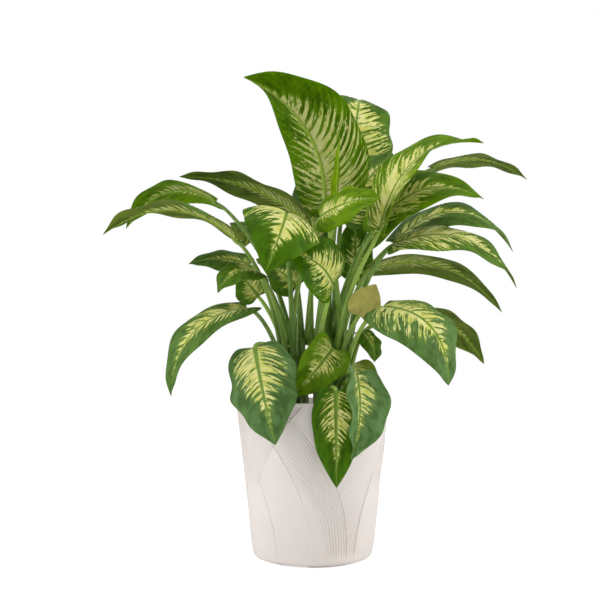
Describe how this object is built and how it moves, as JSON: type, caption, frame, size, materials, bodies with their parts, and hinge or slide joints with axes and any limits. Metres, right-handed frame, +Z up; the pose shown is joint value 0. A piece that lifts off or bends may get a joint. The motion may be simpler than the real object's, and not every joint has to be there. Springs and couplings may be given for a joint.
{
  "type": "potted dieffenbachia",
  "caption": "Bushy variegated dieffenbachia with arching cream-splashed leaves in a tapered white planter with embossed petal panels.",
  "frame": {"origin": "middle of the planter's base, on the floor", "axes": "+Z up along the planter's axis, -Y towards the side with the low hanging leaves, +X to the right of it"},
  "size_m": [0.6796, 0.4569, 0.7705],
  "materials": {
    "planter": "matte, embossed",
    "nursery_pot": "matte",
    "soil": "rough, loose",
    "cane": "satin, fleshy green",
    "leaf": "satin, with cream variegation",
    "old_leaf": "satin, yellowed"
  },
  "bodies": {
    "root": {"planter": "planter", "nursery_pot": "nursery_pot", "soil": "soil", "cane_left": "cane", "cane_front": "cane", "cane_right": "cane", "cane_back_left": "cane", "cane_back_right": "cane", "leaf_crown": "leaf", "leaf_crown_right": "leaf", "leaf_behind_right": "leaf", "leaf_behind_left": "leaf", "leaf_lime": "leaf", "leaf_drop": "leaf", "leaf_front": "leaf", "leaf_upper_left": "leaf", "leaf_long_left": "leaf", "leaf_far_left": "leaf", "leaf_side_left": "leaf", "leaf_low_side_left": "leaf", "leaf_ragged": "leaf", "leaf_low_left": "leaf", "leaf_heart": "leaf", "leaf_centre_fold": "leaf", "leaf_hanging": "leaf", "leaf_rim_right": "leaf", "leaf_big_right": "leaf", "leaf_shade_right": "leaf", "leaf_low_right": "leaf", "leaf_bright_right": "leaf", "leaf_arch_right": "leaf", "leaf_rise_right": "leaf", "leaf_tall_right": "leaf", "leaf_far_right": "leaf", "leaf_old_yellow": "old_leaf", "leaf_curled": "leaf", "leaf_inner_right": "leaf", "leaf_inner_left": "leaf", "leaf_inner_mid": "leaf", "leaf_spear": "leaf", "leaf_rear": "leaf", "leaf_rear_right": "leaf", "leaf_rear_left": "leaf", "leaf_rear_high": "leaf", "leaf_rear_mid": "leaf", "leaf_rear_rim_right": "leaf", "leaf_rear_rim_left": "leaf"}
  },
  "joints": []
}
